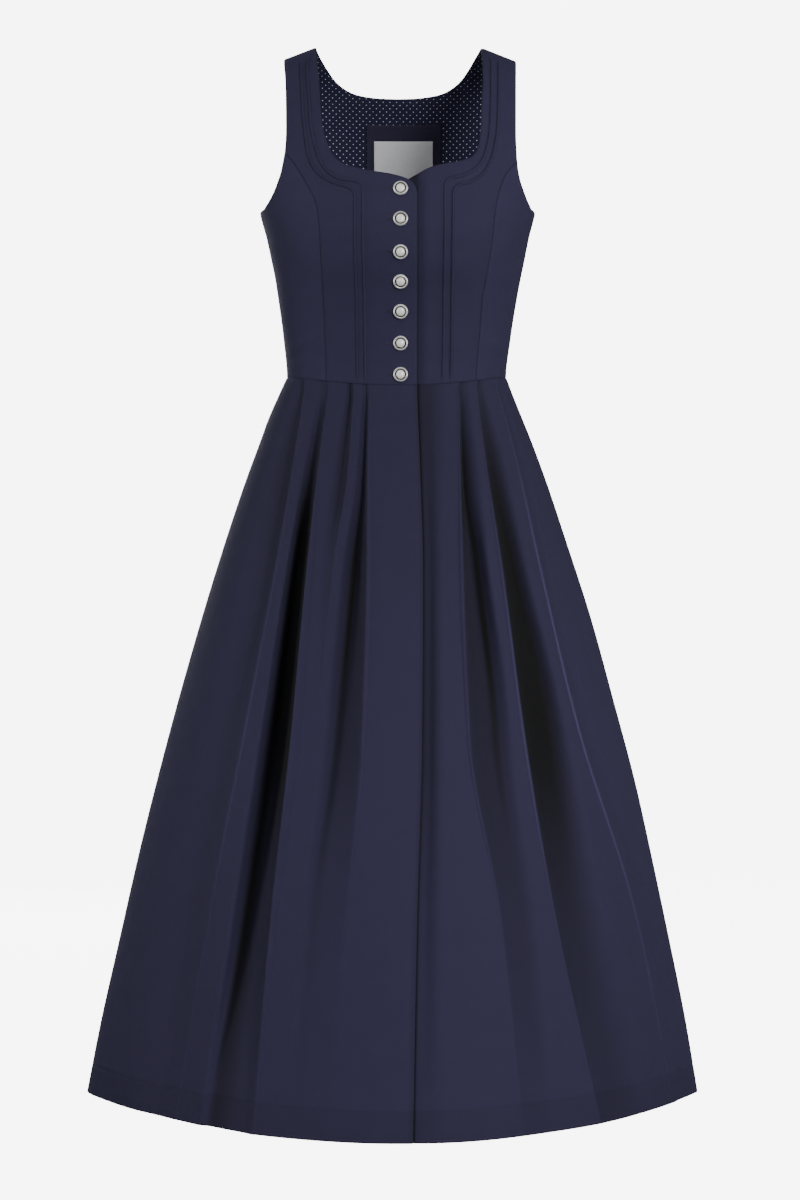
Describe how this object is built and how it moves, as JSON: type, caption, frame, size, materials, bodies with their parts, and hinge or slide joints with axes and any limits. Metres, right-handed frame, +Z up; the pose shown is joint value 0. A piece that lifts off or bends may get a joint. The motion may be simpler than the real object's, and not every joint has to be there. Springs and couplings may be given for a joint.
{
  "type": "dirndl",
  "caption": "Sleeveless dirndl dress with a buttoned, princess-seamed bodice, a curved square neck, pintucks and a long flared skirt pleated into the waist, filled out as worn.",
  "frame": {"origin": "middle of the line between the two shoulder seams, where a wearer's shoulders carry the garment", "axes": "+Z up, -Y towards the garment's front, -X towards the wearer's right"},
  "size_m": [0.7274, 0.6318, 1.243],
  "materials": {
    "cloth": "dark navy fine twill with a low sheen",
    "lining": "darker navy plain weave with small white pin dots",
    "label": "silver grey satin, bare",
    "silver": "old silver with a milled rim",
    "pearl": "cream pearl lustre"
  },
  "bodies": {
    "root": {"bodice_front_right": "cloth", "bodice_front_left": "cloth", "bodice_side_front_right": "cloth", "bodice_side_front_left": "cloth", "bodice_back_centre": "cloth", "bodice_back_side_right": "cloth", "bodice_back_side_left": "cloth", "back_lining": "lining", "label_patch": "cloth", "neck_label": "label", "skirt_front_right": "cloth", "skirt_front_left": "cloth", "skirt_back": "cloth", "button_rim_1": "silver", "button_rim_2": "silver", "button_rim_3": "silver", "button_rim_4": "silver", "button_rim_5": "silver", "button_rim_6": "silver", "button_rim_7": "silver", "button_pearl_1": "pearl", "button_pearl_2": "pearl", "button_pearl_3": "pearl", "button_pearl_4": "pearl", "button_pearl_5": "pearl", "button_pearl_6": "pearl", "button_pearl_7": "pearl"}
  },
  "joints": []
}
